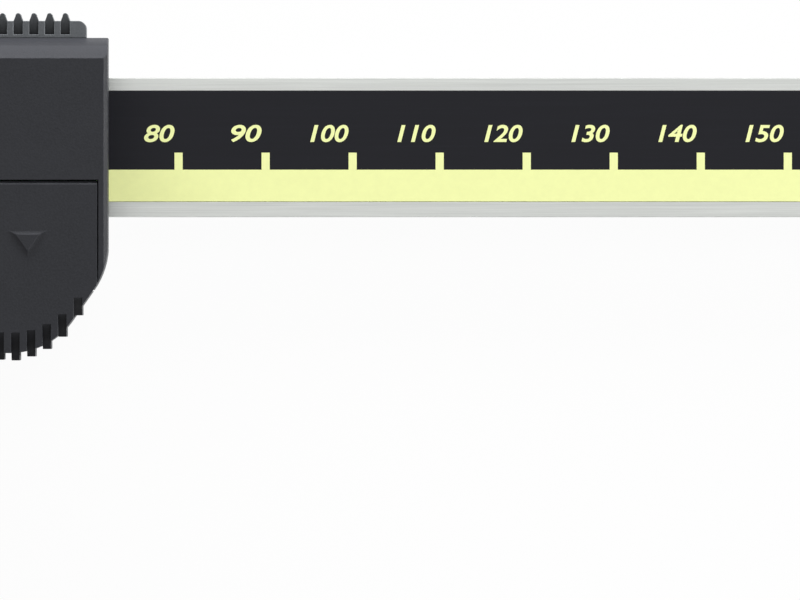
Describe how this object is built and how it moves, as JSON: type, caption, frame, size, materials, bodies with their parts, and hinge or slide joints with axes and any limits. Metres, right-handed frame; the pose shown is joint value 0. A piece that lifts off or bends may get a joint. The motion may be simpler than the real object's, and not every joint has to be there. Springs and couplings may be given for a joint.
{
  "type": "digital caliper",
  "caption": "Digital caliper with outside and inside jaws, a sliding display housing on a printed steel beam, a lock screw, press buttons, a depth rod and sliding covers.",
  "frame": {"origin": "middle of the outline, on the surface that the caliper lies on with its jaws closed", "axes": "+X along the beam away from the jaws, +Y towards the inside jaws, +Z out of the display"},
  "size_m": [0.233, 0.077, 0.0152],
  "materials": {
    "hardened_steel": "satin ground",
    "scale_board": "smooth",
    "scale_film": "satin printed film",
    "plate_steel": "brushed",
    "screw_steel": "turned",
    "bronze": "satin",
    "housing_plastic": "fine moulded grain",
    "cover_plastic": "fine moulded grain",
    "port_cover_plastic": "fine moulded grain",
    "window": "clear acrylic",
    "display": "smooth",
    "connector_rubber": "smooth",
    "circuit_board": "solder mask",
    "chip": "moulded",
    "dome_steel": "polished",
    "battery_steel": "polished",
    "contact_gold": "plated",
    "socket_plastic": "moulded",
    "button_grey": "fine moulded grain",
    "button_blue": "fine moulded grain",
    "knob_steel": "knurled"
  },
  "bodies": {
    "beam": {"main_beam": "hardened_steel", "scale_board": "scale_board", "scale_film": "scale_film", "end_stop_plate": "plate_steel", "end_stop_screws": "screw_steel"},
    "slider": {"slider_frame": "hardened_steel", "back_plate": "plate_steel", "back_plate_screws": "screw_steel", "gib_strip": "bronze", "gib_screws": "screw_steel", "depth_rod": "hardened_steel", "depth_rod_rivets": "screw_steel", "front_housing": "housing_plastic", "housing_screws": "screw_steel", "display_window": "window", "display_panel": "display", "display_connectors": "connector_rubber", "circuit_board": "circuit_board", "sensor_board": "circuit_board", "controller_chip": "chip", "switch_domes": "dome_steel", "battery": "battery_steel", "battery_spring": "contact_gold", "battery_clip": "contact_gold", "data_port_socket": "socket_plastic", "data_port_contacts": "contact_gold"},
    "lock_pad": {"lock_pad": "bronze"},
    "lock_screw": {"lock_screw": "knob_steel"},
    "zero_button": {"zero_button": "button_blue"},
    "origin_button": {"origin_button": "button_grey"},
    "power_button": {"power_button": "button_grey"},
    "battery_cover": {"battery_cover": "cover_plastic"},
    "data_port_cover": {"data_port_cover": "port_cover_plastic"}
  },
  "joints": [
    {"name": "slider_slide", "type": "slide", "parent": "beam", "child": "slider", "axis": [1, 0, 0], "range_m": [0, 0.15]},
    {"name": "lock_press", "type": "slide", "parent": "slider", "child": "lock_pad", "axis": [0, -1, 0], "range_m": [0, 0.00025]},
    {"name": "lock_turn", "type": "hinge", "parent": "lock_pad", "child": "lock_screw", "pos_m": [-0.0835, 0.0227, 0.004], "axis": [0, -1, 0], "range_deg": [0, 181]},
    {"name": "zero_press", "type": "slide", "parent": "slider", "child": "zero_button", "axis": [0, 0, -1], "range_m": [0, 0.0004], "stiffness_N_per_m": 2500},
    {"name": "origin_press", "type": "slide", "parent": "slider", "child": "origin_button", "axis": [0, 0, -1], "range_m": [0, 0.0004], "stiffness_N_per_m": 2500},
    {"name": "power_press", "type": "slide", "parent": "slider", "child": "power_button", "axis": [0, 0, -1], "range_m": [0, 0.0004], "stiffness_N_per_m": 2500},
    {"name": "battery_cover_slide", "type": "slide", "parent": "slider", "child": "battery_cover", "axis": [0, -1, 0], "range_m": [0, 0.014]},
    {"name": "data_port_cover_slide", "type": "slide", "parent": "slider", "child": "data_port_cover", "axis": [1, 0, 0], "range_m": [0, 0.016]}
  ],
  "couplings": [
    {"joint": "lock_turn", "follows": "lock_press", "rad_per_m": 12566}
  ]
}
